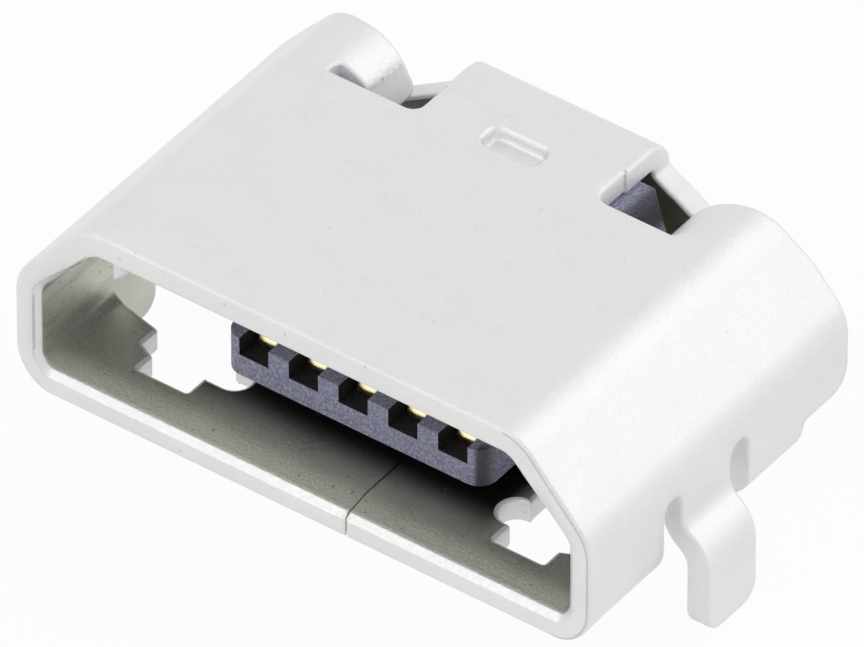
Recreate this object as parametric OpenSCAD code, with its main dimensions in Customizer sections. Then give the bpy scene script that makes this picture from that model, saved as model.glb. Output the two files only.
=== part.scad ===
// Board-mount receptacle with a trapezoid mouth: a folded sheet shell, a moulded housing and five contacts.
// Lengths are in millimetres. The mouth faces -Y, the board is the plane Z = 0, and the origin lies
// midway between the two stakes. Inside the modules Y is measured back from the mouth.

/* [Mouth] */
// Width of the opening at the floor
opening_w = 6.9; // [6.6:0.05:7.3]
// Width of the opening at the roof
opening_top_w = 5.4; // [5.1:0.05:5.7]
// Height of the opening
opening_h = 1.85; // [1.75:0.05:2.1]
// Height of the upright part of the side walls, inside
upright_h = 1; // [0.9:0.02:1.1]
// Depth of the lead-in chamfer on the mouth's floor and walls
lead_in = 0.12; // [0.06:0.01:0.14]

/* [Sheet] */
// Thickness of the shell's sheet
sheet_t = 0.3; // [0.25:0.01:0.34]
// Inside bend radius between floor and side wall
floor_r = 0.15; // [0.1:0.01:0.25]
// Inside bend radius between upright and slanted wall
side_r = 0.3; // [0.2:0.02:0.5]
// Inside bend radius between slanted wall and roof
top_r = 0.25; // [0.15:0.02:0.4]
// Length of the roof beside the neck, from the mouth
roof_len = 3.62; // [3.5:0.02:4.2]
// How far the floor runs past the roof's end
floor_past = 0.23; // [0.15:0.02:0.35]

/* [Seam] */
// Distance of the floor's seam from the middle
seam_x = 0.58; // [0.4:0.02:0.8]
// Open gap left in the seam
seam_gap = 0.02; // [0.01:0.005:0.04]
// Start of the dovetail, from the mouth
dovetail_y = 1.3; // [1.15:0.05:1.5]
// Length of the dovetail at its root
dovetail_l = 0.9; // [0.6:0.02:1.2]
// Reach of the dovetail across the seam
dovetail_d = 0.45; // [0.3:0.02:0.5]
// Widening of the dovetail at its head, on each flank
dovetail_flare = 0.06; // [0.02:0.01:0.1]

/* [Latch windows] */
// Mean distance of the latch windows from the middle of the shell
latch_x = 2.33; // [2.3:0.01:2.36]
// Offset of both latch windows to the right
latch_off = 0.1; // [0:0.01:0.12]
// Width of each latch window
latch_w = 0.65; // [0.6:0.01:0.7]
// Front edge of the latch windows, from the mouth
latch_y = 0.56; // [0.5:0.01:0.62]
// Length of the narrow front part of each window
latch_l = 0.26; // [0.2:0.01:0.28]
// Step outwards behind the front part of each window
latch_step = 0.21; // [0.14:0.01:0.24]
// Radius of the round lobe on the inner side of each window
lobe_r = 0.2; // [0.16:0.01:0.24]
// Middle of the lobes, from the inner side of the windows
lobe_in = 0.06; // [0:0.01:0.1]
// Middle of the lobes, from the mouth
lobe_y = 1.06; // [1.02:0.01:1.1]

/* [Stakes] */
// Middle of the stakes, from the mouth
stake_y = 2.105; // [2.05:0.01:2.16]
// Width of each stake
stake_w = 0.87; // [0.8:0.01:0.94]
// Outward jog of each stake from the side wall
stake_jog = 0.34; // [0.2:0.02:0.5]
// Inside radius of the stakes' two bends
stake_r = 0.25; // [0.2:0.01:0.3]
// Height at which each stake starts to leave its wall
stake_top = 0.65; // [0.62:0.01:0.72]
// Reach of the stakes below the board's upper face
stake_reach = 0.82; // [0.6:0.02:1.2]
// Rounding of the stakes' lower corners
stake_corner = 0.25; // [0.1:0.01:0.35]
// Width of the relief slots beside each stake
slot_w = 0.31; // [0.26:0.01:0.34]
// Height of the relief slots' round tops
slot_top = 1.02; // [0.95:0.01:1.08]
// Length of the floor that each stake was cut from, inside the wall
stake_blank = 1.39; // [1.35:0.01:1.44]

/* [Ears] */
// Width of the slots between the roof's end and the ears
ear_slot = 0.28; // [0.24:0.01:0.32]
// Width of roof left outside each slot, from the corner of roof and slanted wall
ear_strip = 0.5; // [0.45:0.01:0.54]
// Flat roof between the corner's bend and the ears' bend
ear_lead = 0.13; // [0.1:0.01:0.16]
// Inside radius of the ears' bend
ear_r = 0.36; // [0.32:0.02:0.4]
// Angle that the ears are bent down by
ear_turn = 75; // [65:1:85]
// Straight end of the ears below their bend
ear_drop = 0.17; // [0.12:0.01:0.22]
// Cut of the ears' lower rear corner
ear_corner = 0.12; // [0.06:0.01:0.16]
// How far the ears' rear edge lies ahead of the side walls' rear edge
ear_lean = 0.18; // [0.14:0.01:0.22]
// Width over which the rear edge slopes from the ears to the side walls
ear_run = 0.84; // [0.7:0.02:0.9]
// How far the side walls run past the roof's end
wall_past = 1.03; // [0.98:0.01:1.08]
// Height of the side walls' lower edge behind the floor
wall_low = 0.47; // [0.4:0.01:0.5]
// Rounding of the side walls' lower rear corner
wall_corner = 0.3; // [0.15:0.02:0.4]

/* [Neck and flap] */
// Width of the neck between the notches
neck_w = 2.36; // [2.1:0.02:2.6]
// Rounding of the notches' corners
notch_r = 0.14; // [0.06:0.02:0.2]
// Length of the neck from the roof's end to the outside of the flap
neck_len = 1.33; // [1.28:0.01:1.4]
// Inside bend radius between neck and flap
flap_r = 0.08; // [0.05:0.01:0.15]
// Width of the flap below its shoulders
flap_w = 4.4; // [4.2:0.05:4.5]
// Height of the flap's lower edge
flap_low = 0.55; // [0.5:0.02:0.8]
// Drop of the shoulders below the roof's inside, at the neck
shoulder_drop = 0.09; // [0.05:0.01:0.15]
// Fall of the shoulders from the neck to the flap's sides
shoulder_fall = 0.62; // [0.5:0.02:0.7]
// Rounding of the flap's lower corners
flap_corner = 0.2; // [0.1:0.02:0.4]

/* [Staking dimple] */
// Width of the dimple across the neck
dimple_w = 0.71; // [0.6:0.01:0.9]
// Length of the dimple along the neck
dimple_l = 0.3; // [0.26:0.01:0.34]
// Middle of the dimple behind the roof's end
dimple_past = 0.18; // [0.17:0.01:0.2]
// Depth that the dimple is pressed in
dimple_d = 0.14; // [0.1:0.01:0.18]
// Rounding of the dimple's corners
dimple_r = 0.1; // [0.06:0.01:0.12]
// Flank of the dimple, by which its inside is wider than its outside
dimple_flank = 0.06; // [0.04:0.01:0.08]

/* [Housing] */
// Play between housing and shell
fit_gap = 0.02; // [0.01:0.005:0.03]
// Front of the tongue, from the mouth
tongue_y = 0.93; // [0.85:0.01:1]
// Width of the tongue
tongue_w = 3.42; // [3.3:0.02:3.5]
// Height of the tongue's underside
tongue_low = 0.5; // [0.48:0.01:0.54]
// Thickness of the tongue below its grooves
tongue_base = 0.28; // [0.24:0.01:0.32]
// Depth of the tongue's grooves
groove_d = 0.22; // [0.2:0.01:0.28]
// Rounding of the tongue's upright front corners
tongue_r = 0.22; // [0.1:0.02:0.26]
// Distance of the block's front from the floor's openings
block_gap = 0.1; // [0.05:0.01:0.2]
// Distance of the block's back from the ears that hold it
block_back_gap = 0.1; // [0.06:0.01:0.14]
// Width of the heel behind the block, at its foot
heel_w = 3.42; // [3.3:0.02:3.46]
// Slope of each side of the heel towards its top
heel_slope = 0.33; // [0.2:0.01:0.45]
// Distance of the heel's back from the flap
heel_flap_gap = 0.23; // [0.18:0.01:0.28]

/* [Contacts] */
// Pitch of the contacts
contact_pitch = 0.65; // [0.6:0.01:0.7]
// Width of each contact
contact_w = 0.3; // [0.26:0.01:0.32]
// Thickness of the contacts
contact_t = 0.15; // [0.12:0.01:0.18]
// Play between each contact and its groove, on each side
contact_gap = 0.04; // [0.02:0.005:0.05]
// Tip of the contacts behind the tongue's front
tip_back = 0.24; // [0.15:0.01:0.4]
// Inside radius of the contacts' bends
contact_r = 0.1; // [0.08:0.01:0.14]
// Distance of the contacts' first bend from the back of the heel above it
tail_in = 0.27; // [0.24:0.01:0.32]
// Reach of the solder feet past the flap
foot_past = 0.35; // [0.25:0.05:0.6]

/* [Hidden] */
$fn = 64;
contact_count = 5;
// How far cutters run past what they cut
past = 0.5;
// Flats that stand for each bend of a folded strip
bend_steps = 12;
// How far a strip runs on into the wall that it grows from
lap = sheet_t / 2;

// Section of the shell
slant = atan2(opening_h - upright_h, (opening_w - opening_top_w) / 2);
inner_w = opening_w / 2;
outer_w = inner_w + sheet_t;
roof_z = sheet_t + opening_h;
outer_h = roof_z + sheet_t;

// Corners of the right half of the section, moved outwards from the sheet's inside
function half_section(out, floor_out) = [
    [inner_w + out, sheet_t - floor_out],
    [inner_w + out, sheet_t + upright_h + out * (1 - sin(slant)) / cos(slant)],
    [opening_top_w / 2 + out * (1 - cos(slant)) / sin(slant), roof_z + out]
];
function mirrored(points) = [for (i = [len(points) - 1:-1:0]) [-points[i][0], points[i][1]]];
notch_x = half_section(sheet_t, sheet_t)[2][0] - ear_strip;
ear_bend_x = opening_top_w / 2 - top_r * tan(slant / 2) - ear_lead;
ear_end_x = ear_bend_x - (ear_r + sheet_t) * sin(ear_turn) - ear_drop * cos(ear_turn);

// Stations along Y, from the mouth
stake_front = stake_y - stake_w / 2;
cut_front = stake_front - slot_w;
cut_back = stake_y + stake_w / 2 + slot_w;
floor_len = roof_len + floor_past;
ear_y = roof_len + ear_slot;
wall_len = roof_len + wall_past;
flap_y = roof_len + neck_len;
flap_bend_y = flap_y - sheet_t - flap_r;
ear_back = wall_len - ear_lean;
neck_join = (roof_len + dimple_past + dimple_l / 2 + flap_bend_y) / 2;
block_y = cut_back + block_gap;
block_back = ear_y - block_back_gap;
heel_back = flap_y - sheet_t - heel_flap_gap;
tail_y = heel_back - tail_in;

// Stakes and contacts
stake_bend = acos(1 - stake_jog / (2 * stake_r + sheet_t));
stake_bend_h = (2 * stake_r + sheet_t) * sin(stake_bend);
groove_z = tongue_low + tongue_base;
tongue_top = groove_z + groove_d;
tip_y = tongue_y + tip_back;
tail_turn = contact_r + contact_t;
tail_drop = groove_z - contact_t - 2 * contact_r;

// A convex outline with each corner rounded by its own radius
function toward(a, b) = (b - a) / norm(b - a);
function half_angle(p, c, n) = acos(toward(c, p) * toward(c, n)) / 2;
module rounded(points, radii) {
    last = len(points) - 1;
    before = [for (i = [0:last]) points[i == 0 ? last : i - 1]];
    after = [for (i = [0:last]) points[i == last ? 0 : i + 1]];
    half = [for (i = [0:last]) half_angle(before[i], points[i], after[i])];
    polygon([for (i = [0:last]) for (end = [before[i], after[i]])
        points[i] + toward(points[i], end) * radii[i] / tan(half[i])]);
    for (i = [0:last]) {
        inwards = toward(points[i], before[i]) + toward(points[i], after[i]);
        translate(points[i] + inwards / norm(inwards) * radii[i] / sin(half[i]))
            circle(radii[i]);
    }
}

module rounded_box(low, high, r) {
    rounded([low, [high[0], low[1]], high, [low[0], high[1]]], [r, r, r, r]);
}

// The section of the shell as one filled outline
module section(out, floor_out) {
    half = half_section(out, floor_out);
    radii = [floor_r, side_r, top_r];
    rounded(concat(half, mirrored(half)), [for (r = concat(radii, [top_r, side_r, floor_r])) r + max(out, 0)]);
}

// An X-Z outline drawn out along Y
module along_y(from, to) {
    translate([0, to, 0]) rotate([90, 0, 0]) linear_extrude(to - from) children();
}

// A Y-Z outline drawn out along X
module along_x(from, to) {
    translate([from, 0, 0]) rotate([90, 0, 90]) linear_extrude(to - from) children();
}

module both_sides() {
    children();
    mirror([1, 0, 0]) children();
}

module from_mouth() {
    translate([0, -stake_y, 0]) children();
}

// One edge of a folded strip, at a distance from its right edge. Each step is a straight length,
// an inside radius and a turn to the left; the last step is a straight length only.
function strip_edge(t, steps, off, i = 0, start = [0, 0], heading = 0) =
    let (
        along = [cos(heading), sin(heading)],
        leftwards = [-sin(heading), cos(heading)],
        end = start + steps[i][0] * along
    )
    i == len(steps) - 1 ? [start + off * leftwards, end + off * leftwards] :
    let (
        turn = steps[i][2],
        to_centre = turn > 0 ? t + steps[i][1] : -steps[i][1],
        centre = end + to_centre * leftwards,
        spokes = [for (k = [0:bend_steps]) heading + turn * k / bend_steps]
    )
    concat(
        steps[i][0] > 0 ? [start + off * leftwards] : [],
        [for (a = spokes) centre + (off - to_centre) * [-sin(a), cos(a)]],
        strip_edge(t, steps, off, i + 1,
            centre - to_centre * [-sin(heading + turn), cos(heading + turn)], heading + turn)
    );

module folded_strip(t, steps) {
    left_edge = strip_edge(t, steps, t);
    polygon(concat(strip_edge(t, steps, 0), [for (i = [len(left_edge) - 1:-1:0]) left_edge[i]]));
}

// Mouth chamfer: a taper that starts inside the opening and widens downwards and sideways towards the mouth
module lead_in_cut() {
    half = half_section(-lead_in, -lead_in);
    reach = 3 * lead_in;
    middle = [0, roof_z - lead_in];
    widen = [1 + reach / (inner_w - lead_in), 1 + reach / (opening_h - 2 * lead_in)];
    translate([0, reach - lead_in, middle[1]]) rotate([90, 0, 0])
        linear_extrude(reach, scale = widen, slices = 1)
            translate(-middle) polygon(concat(half, mirrored(half)));
}

// Seam line through the floor, moved sideways by a distance
function seam_line(shift) = [
    [seam_x + shift, -past],
    [seam_x + shift, dovetail_y - shift],
    [seam_x + dovetail_d + shift, dovetail_y - dovetail_flare - shift],
    [seam_x + dovetail_d + shift, dovetail_y + dovetail_l + dovetail_flare + shift],
    [seam_x + shift, dovetail_y + dovetail_l + shift],
    [seam_x + shift, floor_len + past]
];

module seam() {
    right = seam_line(seam_gap / 2);
    left = seam_line(-seam_gap / 2);
    translate([0, 0, -past]) linear_extrude(past + sheet_t + past / 2)
        polygon(concat(right, [for (i = [len(left) - 1:-1:0]) left[i]]));
}

// Opening in the floor for the plug's latch, which runs back into the stake's cut-out
module latch_window(middle) {
    near = middle - latch_w / 2;
    far = middle + latch_w / 2;
    shoulder = latch_y + latch_l;
    cut_x = inner_w - stake_blank;
    translate([0, 0, -past]) linear_extrude(past + sheet_t + floor_r) {
        polygon([
            [near, latch_y],
            [far, latch_y],
            [far, shoulder],
            [far + latch_step, shoulder + latch_step / 2],
            [far + latch_step, cut_front - slot_w / 2],
            [inner_w, cut_front],
            [inner_w, stake_front],
            [cut_x, stake_front],
            [cut_x, cut_front],
            [near, lobe_y],
            [near, shoulder]
        ]);
        translate([near - lobe_in, lobe_y]) circle(lobe_r);
    }
}

// Cut in floor and wall that frees the stake, with a relief slot on each side of it
module stake_cut() {
    slot_r = slot_w / 2;
    along_x(inner_w - stake_blank, outer_w + past) {
        translate([cut_front, -past]) square([cut_back - cut_front, past + stake_top]);
        for (y = [cut_front, cut_back - slot_w]) {
            translate([y, stake_top - past]) square([slot_w, slot_top - slot_r - stake_top + past]);
            translate([y + slot_r, slot_top - slot_r]) circle(slot_r);
        }
    }
}

module stake() {
    straight = stake_reach + stake_top - stake_bend_h;
    intersection() {
        along_y(stake_front, stake_front + stake_w)
            translate([inner_w, stake_top + lap]) rotate(-90)
                folded_strip(sheet_t, [[lap, stake_r, stake_bend], [0, stake_r, -stake_bend], [straight, 0, 0]]);
        along_x(inner_w - past, outer_w + stake_jog + past) {
            rounded_box([stake_front, -stake_reach], [stake_front + stake_w, 0], stake_corner);
            translate([stake_front, -stake_reach / 2]) square([stake_w, stake_reach / 2 + stake_top + lap]);
        }
    }
}

// Tab of the roof's rear corner, bent down behind the housing's block to hold it
module ear() {
    intersection() {
        along_y(ear_y, ear_back) translate([ear_bend_x + ear_lead, outer_h]) rotate(180)
            folded_strip(sheet_t, [[ear_lead, ear_r, ear_turn], [ear_drop, 0, 0]]);
        linear_extrude(outer_h + past) polygon([
            [ear_end_x - past, ear_y - past],
            [ear_bend_x + past, ear_y - past],
            [ear_bend_x + past, ear_back + past],
            [ear_end_x + ear_corner + past, ear_back + past],
            [ear_end_x - past, ear_back - ear_corner - past]
        ]);
    }
}

// Neck of the roof, bent down into the flap that closes the rear
module neck_and_flap() {
    shoulder_z = roof_z - shoulder_drop;
    drop = roof_z - flap_r - flap_low;
    intersection() {
        along_x(-flap_w / 2, flap_w / 2)
            translate([neck_join - lap, roof_z])
                folded_strip(sheet_t, [[flap_bend_y - neck_join + lap, flap_r, -90], [drop, 0, 0]]);
        along_y(neck_join - past, flap_y + past) {
            rounded([
                [flap_w / 2, shoulder_z - shoulder_fall],
                [-flap_w / 2, shoulder_z - shoulder_fall],
                [-flap_w / 2, flap_low],
                [flap_w / 2, flap_low]
            ], [flap_corner / 4, flap_corner / 4, flap_corner, flap_corner]);
            polygon([
                [-flap_w / 2, shoulder_z - shoulder_fall - flap_corner],
                [flap_w / 2, shoulder_z - shoulder_fall - flap_corner],
                [flap_w / 2, shoulder_z - shoulder_fall],
                [neck_w / 2, shoulder_z],
                [neck_w / 2, outer_h + past],
                [-neck_w / 2, outer_h + past],
                [-neck_w / 2, shoulder_z],
                [-flap_w / 2, shoulder_z - shoulder_fall]
            ]);
        }
    }
}

// What is trimmed from the tube behind the roof and the floor
module rear_trim() {
    trim_back = wall_len + past;
    translate([0, 0, roof_z - top_r]) linear_extrude(sheet_t + top_r + past) {
        both_sides() {
            rounded_box([neck_w / 2, roof_len], [notch_x, trim_back], notch_r);
            translate([neck_w / 2, ear_y]) square([ear_bend_x - neck_w / 2, trim_back - ear_y]);
        }
        translate([-neck_w / 2 - past, neck_join]) square([neck_w + 2 * past, trim_back - neck_join]);
    }
    translate([0, 0, upright_h]) linear_extrude(outer_h) both_sides() polygon([
        [neck_w / 2, ear_back],
        [ear_bend_x, ear_back],
        [ear_bend_x + ear_run, wall_len],
        [ear_bend_x + ear_run, trim_back],
        [neck_w / 2, trim_back]
    ]);
    translate([-outer_w - past, floor_len, -past]) cube([2 * outer_w + 2 * past, trim_back, past + wall_low]);
    along_x(-outer_w - past, outer_w + past) difference() {
        translate([wall_len - wall_corner, wall_low - past]) square([wall_corner + past, wall_corner + past]);
        translate([wall_len - wall_corner, wall_low + wall_corner]) circle(wall_corner);
    }
}

// Pressed pocket that stakes the housing; grow widens it, drop lowers its floor
module dimple(grow, drop) {
    middle = roof_len + dimple_past;
    low = [-dimple_w / 2 - grow, middle - dimple_l / 2 - grow];
    high = [dimple_w / 2 + grow, middle + dimple_l / 2 + grow];
    translate([0, 0, outer_h - dimple_d - drop]) linear_extrude(dimple_d)
        rounded_box(low, high, dimple_r + grow);
}

module shell() {
    color("gainsboro") from_mouth() difference() {
        union() {
            difference() {
                along_y(0, wall_len) section(sheet_t, sheet_t);
                along_y(-past, wall_len + past) section(0, 0);
                lead_in_cut();
                rear_trim();
                seam();
                latch_window(latch_x + latch_off);
                mirror([1, 0, 0]) latch_window(latch_x - latch_off);
                both_sides() stake_cut();
            }
            both_sides() {
                stake();
                ear();
            }
            neck_and_flap();
            dimple(dimple_flank, sheet_t);
        }
        dimple(0, 0);
    }
}

// Tongue with a groove for each contact, open above and in front
module tongue() {
    difference() {
        translate([0, 0, tongue_low]) linear_extrude(tongue_top - tongue_low) {
            rounded_box([-tongue_w / 2, tongue_y], [tongue_w / 2, block_y], tongue_r);
            translate([-tongue_w / 2, (tongue_y + block_y) / 2]) square([tongue_w, (block_y - tongue_y) / 2]);
        }
        for (i = [1:contact_count])
            translate([contact_x(i) - contact_w / 2 - contact_gap, tongue_y - past, groove_z])
                cube([contact_w + 2 * contact_gap, block_y - tongue_y + past, groove_d + past]);
    }
}

// Block that plugs the shell, with a heel behind it under the neck
module block() {
    along_y(block_y, block_back) section(-fit_gap, 0);
    heel_low = groove_z + contact_t + contact_gap;
    heel_top = roof_z - fit_gap;
    along_y(block_back, heel_back) polygon([
        [-heel_w / 2, heel_low],
        [heel_w / 2, heel_low],
        [heel_w / 2 - heel_slope, heel_top],
        [heel_slope - heel_w / 2, heel_top]
    ]);
}

module housing() {
    color("slategray") from_mouth() {
        tongue();
        difference() {
            block();
            dimple(dimple_flank + fit_gap, sheet_t + fit_gap);
            for (i = [1:contact_count])
                translate([contact_x(i) - contact_w / 2 - contact_gap, block_y - past, groove_z])
                    cube([contact_w + 2 * contact_gap, block_back - block_y + 2 * past, contact_t + contact_gap]);
        }
    }
}

function contact_x(i) = (i - (contact_count + 1) / 2) * contact_pitch;

// Contact blade in its groove, bent down under the heel into a foot on the board
module contact(i) {
    blade = tail_y - tip_y;
    foot = flap_y + foot_past - tail_y - 2 * tail_turn + contact_t;
    color("gold") from_mouth() along_x(contact_x(i) - contact_w / 2, contact_x(i) + contact_w / 2)
        translate([tip_y, groove_z])
            folded_strip(contact_t, [[blade, contact_r, -90], [tail_drop, contact_r, 90], [foot, 0, 0]]);
}

shell();
housing();
contact(1);  // contact_1
contact(2);  // contact_2
contact(3);  // contact_3
contact(4);  // contact_4
contact(5);  // contact_5
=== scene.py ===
import math

import bpy
import numpy as np
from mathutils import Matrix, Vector, geometry, kdtree


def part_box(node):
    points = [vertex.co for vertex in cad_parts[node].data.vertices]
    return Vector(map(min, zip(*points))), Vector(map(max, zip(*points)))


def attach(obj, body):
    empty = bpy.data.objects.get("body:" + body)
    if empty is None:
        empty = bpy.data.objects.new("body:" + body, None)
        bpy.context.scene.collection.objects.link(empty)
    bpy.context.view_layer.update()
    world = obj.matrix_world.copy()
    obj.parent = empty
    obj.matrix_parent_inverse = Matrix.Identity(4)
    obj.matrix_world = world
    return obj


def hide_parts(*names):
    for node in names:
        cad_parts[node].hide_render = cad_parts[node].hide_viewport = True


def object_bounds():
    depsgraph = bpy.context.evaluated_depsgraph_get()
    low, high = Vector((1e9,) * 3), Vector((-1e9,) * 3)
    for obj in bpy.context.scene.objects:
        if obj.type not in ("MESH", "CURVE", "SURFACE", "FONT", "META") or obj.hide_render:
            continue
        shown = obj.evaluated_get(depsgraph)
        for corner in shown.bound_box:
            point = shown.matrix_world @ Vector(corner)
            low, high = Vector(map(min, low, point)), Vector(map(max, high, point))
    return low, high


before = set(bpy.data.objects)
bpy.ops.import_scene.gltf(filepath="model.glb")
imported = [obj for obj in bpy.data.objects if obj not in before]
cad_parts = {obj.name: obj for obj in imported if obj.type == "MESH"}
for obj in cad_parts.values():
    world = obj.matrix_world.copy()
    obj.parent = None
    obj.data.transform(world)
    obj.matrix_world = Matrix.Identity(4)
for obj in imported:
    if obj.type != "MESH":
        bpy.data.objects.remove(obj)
cad_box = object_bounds()


# Housing. One moulding of blue-grey plastic with glass fibre in it: the ribbed tongue that a plug slides over,
# the block behind it that fills the shell, and a heel under the shell's neck. It is pushed in from behind.
MM = 0.001
PLASTIC_PALE = (0.52, 0.52, 0.72, 1)
PLASTIC_DARK = (0.25, 0.25, 0.36, 1)
PLASTIC_ROUGH = (0.62, 0.42)
PLASTIC_GRAIN_D = 0.012
FIBRE = (0.62, 0.62, 0.76, 1)
# Painted shade on the tongue's right front corner, and how far back it reaches in full.
CORNER_SHADE = (0.075, 0.077, 0.10, 1)
CORNER_SHADE_L = 0.06
# Painted shade on the plastic seen in the notch under the right ear.
NOTCH_SHADE = (0.045, 0.046, 0.055, 1)
# Painted shade, near black, in the contact grooves of the tongue.
GROOVE_SHADE = (0.012, 0.012, 0.014, 1)
GROOVE_PITCH = 0.65
GROOVE_HALF = 0.19
GROOVE_Z = 0.78
GROOVE_SIDE_MARGIN = 0.002
GROOVE_FLOOR_MARGIN = 0.005
MOULD_EDGE = 0.03
MOULD_EDGE_ANGLE = math.radians(40)
MERGE_D = 0.001


def feed(tree, node, sockets):
    """Sets a node's sockets to values, or links them to other nodes' outputs."""
    for name, value in sockets.items():
        if isinstance(value, bpy.types.NodeSocket):
            tree.links.new(value, node.inputs[name])
        else:
            node.inputs[name].default_value = value


def add(tree, kind, settings=None, sockets=None):
    """A new node with its settings and its sockets."""
    node = tree.nodes.new(kind)
    for name, value in (settings or {}).items():
        setattr(node, name, value)
    feed(tree, node, sockets or {})
    return node


def maths(tree, operation, first, second=0.0):
    """A number worked out from one or two others."""
    return add(tree, "ShaderNodeMath", {"operation": operation}, {0: first, 1: second}).outputs[0]


def smooth(tree, value, start, end):
    """A smooth step, 0 where a value is at its start and 1 where it is at its end."""
    return add(tree, "ShaderNodeMapRange", {"interpolation_type": "SMOOTHSTEP"}, {
        "Value": value, "From Min": start, "From Max": end}).outputs[0]


def noise(tree, vector, scale):
    """Noise in a few layers of detail."""
    return add(tree, "ShaderNodeTexNoise", {}, {
        "Vector": vector, "Scale": scale, "Detail": 3, "Roughness": 0.6}).outputs[0]


def axes(tree, position):
    """The three coordinates of a position."""
    return add(tree, "ShaderNodeSeparateXYZ", {}, {0: position}).outputs


def effect_group(name, inputs):
    """A shader node group with number inputs and one mask output, its own position in millimetres ready."""
    tree = bpy.data.node_groups.new(name, "ShaderNodeTree")
    for socket, value in inputs.items():
        made = tree.interface.new_socket(name=socket, in_out="INPUT", socket_type="NodeSocketFloat")
        made.default_value = value
    tree.interface.new_socket(name="Mask", in_out="OUTPUT", socket_type="NodeSocketFloat")
    given = tree.nodes.new("NodeGroupInput")
    out = tree.nodes.new("NodeGroupOutput")
    place = add(tree, "ShaderNodeTexCoord").outputs["Object"]
    position = add(tree, "ShaderNodeVectorMath", {"operation": "SCALE"}, {0: place, "Scale": 1 / MM})
    return tree, given.outputs, out.inputs, position.outputs[0]


def put_out(tree, out, *masks):
    """Makes the product of some masks a group's output."""
    product = masks[0]
    for mask in masks[1:]:
        product = maths(tree, "MULTIPLY", product, mask)
    tree.links.new(product, out["Mask"])


grain_group, given, out, position = effect_group("fine_grain", {"Scale": 20, "Low": 0.35, "High": 0.65})
grains = noise(grain_group, position, given["Scale"])
put_out(grain_group, out, smooth(grain_group, grains, given["Low"], given["High"]))

speck_group, given, out, position = effect_group("specks", {"Scale": 6, "Size": 0.12, "Share": 0.3})
cells = add(speck_group, "ShaderNodeTexVoronoi", {}, {"Vector": position, "Scale": given["Scale"]})
blot = smooth(speck_group, cells.outputs["Distance"], given["Size"], 0)
pick = add(speck_group, "ShaderNodeSeparateColor", {}, {"Color": cells.outputs["Color"]})
chosen = maths(speck_group, "LESS_THAN", pick.outputs[0], given["Share"])
put_out(speck_group, out, blot, chosen)

# Mask for the painted shade in the tongue's contact grooves, in front of the block.
groove_group, given, out, position = effect_group("grooves", {
    "Pitch": GROOVE_PITCH, "Half width": GROOVE_HALF + GROOVE_SIDE_MARGIN, "Floor": GROOVE_Z - GROOVE_FLOOR_MARGIN})
at = axes(groove_group, position)
half_pitch = maths(groove_group, "DIVIDE", given["Pitch"], 2)
from_middle = maths(groove_group, "PINGPONG", at["X"], half_pitch)
between = maths(groove_group, "LESS_THAN", from_middle, given["Half width"])
above = maths(groove_group, "GREATER_THAN", at["Z"], given["Floor"])
ahead = maths(groove_group, "LESS_THAN", at["Y"], 0)
put_out(groove_group, out, between, above, ahead)

# Mask for the painted shade on the tongue's right front corner.
corner_group, given, out, position = effect_group("tongue_corner", {
    "Side": 1.55, "Side fade": 0.06, "Front": -1.305, "Front fade": 0.2})
at = axes(corner_group, position)
side_end = maths(corner_group, "ADD", given["Side"], given["Side fade"])
beside = smooth(corner_group, at["X"], given["Side"], side_end)
front_end = maths(corner_group, "ADD", given["Front"], given["Front fade"])
ahead = smooth(corner_group, at["Y"], front_end, given["Front"])
put_out(corner_group, out, beside, ahead)

# Mask for painted shade: with these values the plastic in the notch under the right ear, with others the rear
# flap's inner face.
notch_group, given, out, position = effect_group("notch_shade", {
    "Side": 1.24, "Front": 1.7, "Height": 1.6, "Fade": 0.2})
at = axes(notch_group, position)
side_end = maths(notch_group, "ADD", given["Side"], given["Fade"])
beside = smooth(notch_group, at["X"], given["Side"], side_end)
behind = maths(notch_group, "GREATER_THAN", at["Y"], given["Front"])
height_end = maths(notch_group, "ADD", given["Height"], given["Fade"])
above = smooth(notch_group, at["Z"], given["Height"], height_end)
put_out(notch_group, out, beside, behind, above)


def effect(tree, group, sockets):
    """The mask of an effect group placed in a material with its own values."""
    return add(tree, "ShaderNodeGroup", {"node_tree": group}, sockets).outputs["Mask"]


def mixed(tree, mask, first, second):
    """A colour between two others, by a mask."""
    mix = add(tree, "ShaderNodeMix", {"data_type": "RGBA"}, {0: mask, 6: first, 7: second})
    return mix.outputs[2]


def layered(tree, colour, layers):
    """A colour with others laid over it, each by the mask of an effect group with its own values."""
    for group, sockets, over in layers:
        colour = mixed(tree, effect(tree, group, sockets), colour, over)
    return colour


def ranged(tree, mask, low, high):
    """A number that goes from low to high with a mask."""
    return add(tree, "ShaderNodeMapRange", {}, {"Value": mask, "To Min": low, "To Max": high}).outputs[0]


def bumped(tree, height, depth):
    """A normal raised by a height mask, depth in millimetres."""
    return add(tree, "ShaderNodeBump", {}, {"Strength": 1, "Distance": depth * MM, "Height": height}).outputs[0]


def surface(name):
    """A new material: its node tree and its Principled shader."""
    material = bpy.data.materials.new(name)
    material.use_nodes = True
    return material, material.node_tree, material.node_tree.nodes["Principled BSDF"]


filled_plastic, tree, shader = surface("filled_plastic")
housing_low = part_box("housing")[0] / MM
mottle = effect(tree, grain_group, {"Scale": 30, "Low": 0.32, "High": 0.68})
plastic = layered(tree, mixed(tree, mottle, PLASTIC_DARK, PLASTIC_PALE), [
    (speck_group, {"Scale": 18, "Size": 0.34, "Share": 0.30}, FIBRE),
    (corner_group, {"Front": housing_low.y + CORNER_SHADE_L}, CORNER_SHADE),
    (notch_group, {}, NOTCH_SHADE),
    (groove_group, {}, GROOVE_SHADE),
])
feed(tree, shader, {
    "Base Color": plastic,
    "Roughness": ranged(tree, mottle, *PLASTIC_ROUGH),
    "Normal": bumped(tree, mottle, PLASTIC_GRAIN_D),
})

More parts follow.
